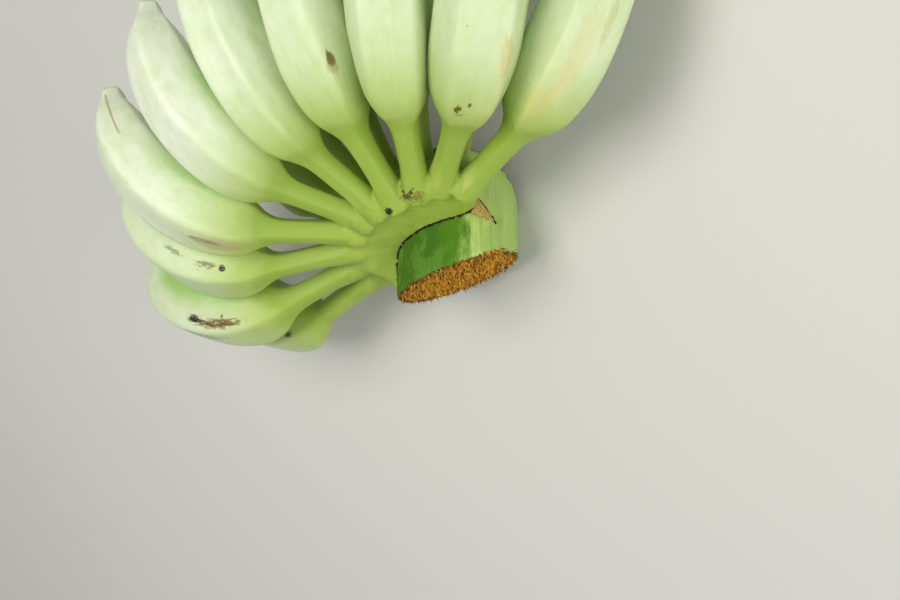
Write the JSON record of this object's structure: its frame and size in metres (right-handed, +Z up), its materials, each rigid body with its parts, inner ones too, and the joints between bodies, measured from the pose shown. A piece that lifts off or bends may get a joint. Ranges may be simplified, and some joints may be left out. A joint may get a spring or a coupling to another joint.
{
  "type": "bunch of plantains",
  "caption": "Hand of green unripe plantains: two rows of curved angular fruit on a crown round a short cut stalk, resting like a claw.",
  "frame": {"origin": "on the floor, under the middle of the hand as it rests on its stalk and its inner fruit tips", "axes": "+X to the side along the hand's width, +Y toward the fruit tips, +Z up; the cut stalk faces -Y and up"},
  "size_m": [0.3794, 0.2318, 0.1527],
  "materials": {
    "peel": "waxy green plantain peel with a pale bloom",
    "crown_skin": "smooth yellow-green crown skin",
    "stalk_skin": "ribbed green stalk skin, brown fibres on the cut"
  },
  "bodies": {
    "root": {"stalk": "stalk_skin", "crown": "crown_skin", "outer_fruit_1": "peel", "outer_fruit_2": "peel", "outer_fruit_3": "peel", "outer_fruit_4": "peel", "outer_fruit_5": "peel", "outer_fruit_6": "peel", "outer_fruit_7": "peel", "outer_fruit_8": "peel", "outer_fruit_9": "peel", "outer_fruit_10": "peel", "inner_fruit_1": "peel", "inner_fruit_2": "peel", "inner_fruit_3": "peel", "inner_fruit_4": "peel", "inner_fruit_5": "peel", "inner_fruit_6": "peel"}
  },
  "joints": []
}
